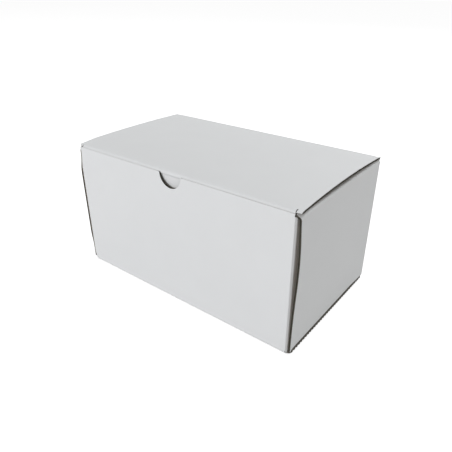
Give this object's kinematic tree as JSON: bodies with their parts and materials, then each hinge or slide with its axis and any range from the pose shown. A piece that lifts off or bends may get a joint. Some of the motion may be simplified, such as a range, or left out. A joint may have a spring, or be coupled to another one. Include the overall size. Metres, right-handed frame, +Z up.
{
  "type": "corrugated mailer box",
  "caption": "Closed corrugated mailer box with roll-over side walls, a hinged lid tucked behind the front wall and a half-moon thumb notch.",
  "frame": {"origin": "middle of the underside, on the surface that the box stands on", "axes": "+X along the front wall to the viewer's right, +Y from the front wall to the back wall, +Z up"},
  "size_m": [0.2026, 0.1156, 0.107],
  "materials": {
    "tray_board": "smooth matt white outer paper on thin fluted board",
    "lid_board": "smooth matt white outer paper on thin fluted board"
  },
  "bodies": {
    "tray": {"tray": "tray_board"},
    "lid": {"lid": "lid_board"}
  },
  "joints": [
    {"name": "lid_hinge", "type": "hinge", "parent": "tray", "child": "lid", "pos_m": [0, 0.05775, 0.105], "axis": [-1, 0, 0], "range_deg": [0, 240]}
  ]
}
